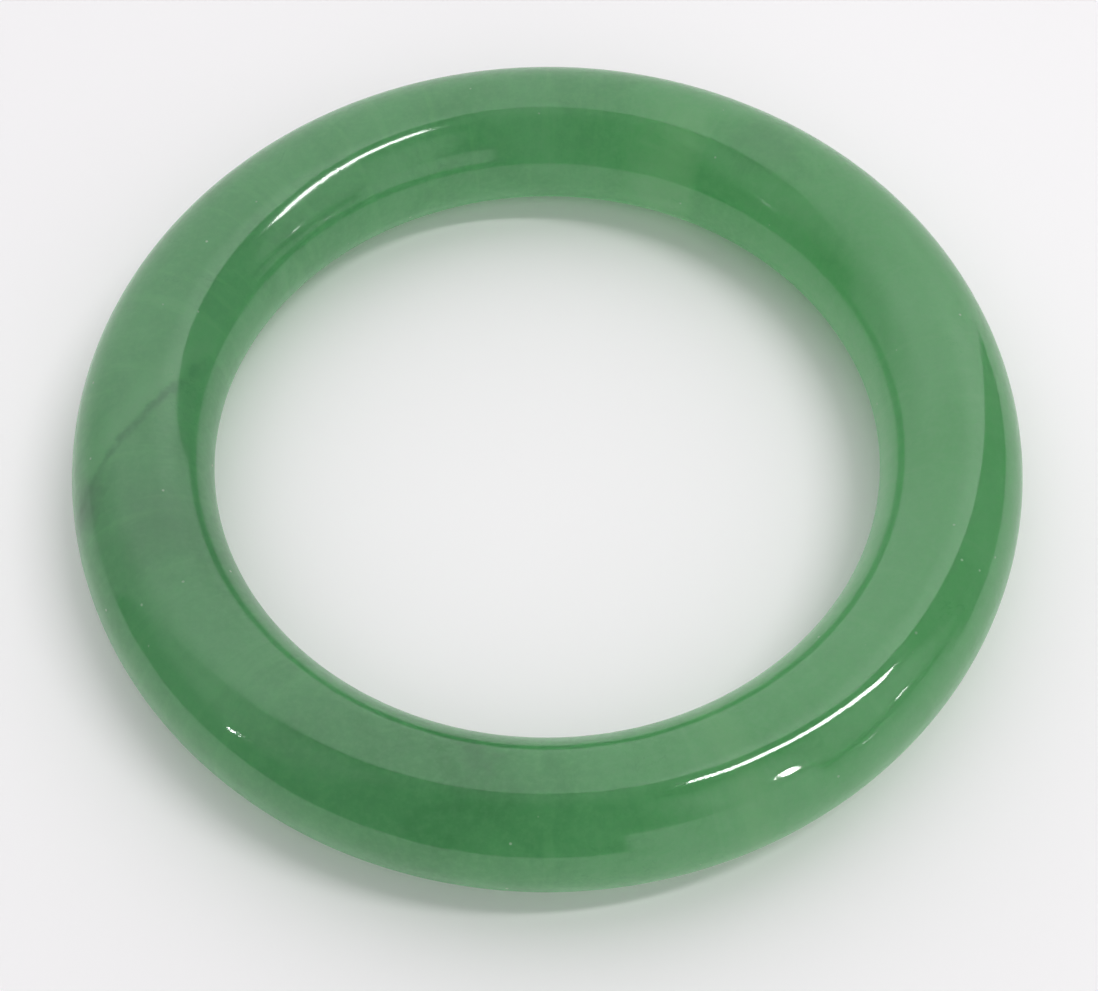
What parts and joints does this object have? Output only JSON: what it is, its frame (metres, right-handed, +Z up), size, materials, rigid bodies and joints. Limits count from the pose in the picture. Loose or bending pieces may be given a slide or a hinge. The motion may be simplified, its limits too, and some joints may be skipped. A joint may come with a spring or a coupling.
{
  "type": "bangle bracelet",
  "caption": "Solid closed ring bangle of translucent mottled green jade-like stone, a polished round bar slipped over the hand and worn loose on the wrist.",
  "frame": {"origin": "on the ring's axis, in the plane the bangle lies on, so the ring's lowest point is at Z = 0", "axes": "+Z up along the ring's axis, which is also the way the hand passes through; X and Y lie in the plane of the ring, and the ring is the same all round them"},
  "size_m": [0.0804, 0.0804, 0.0119],
  "materials": {
    "green_stone": "polished"
  },
  "bodies": {
    "root": {"bangle": "green_stone"}
  },
  "joints": []
}
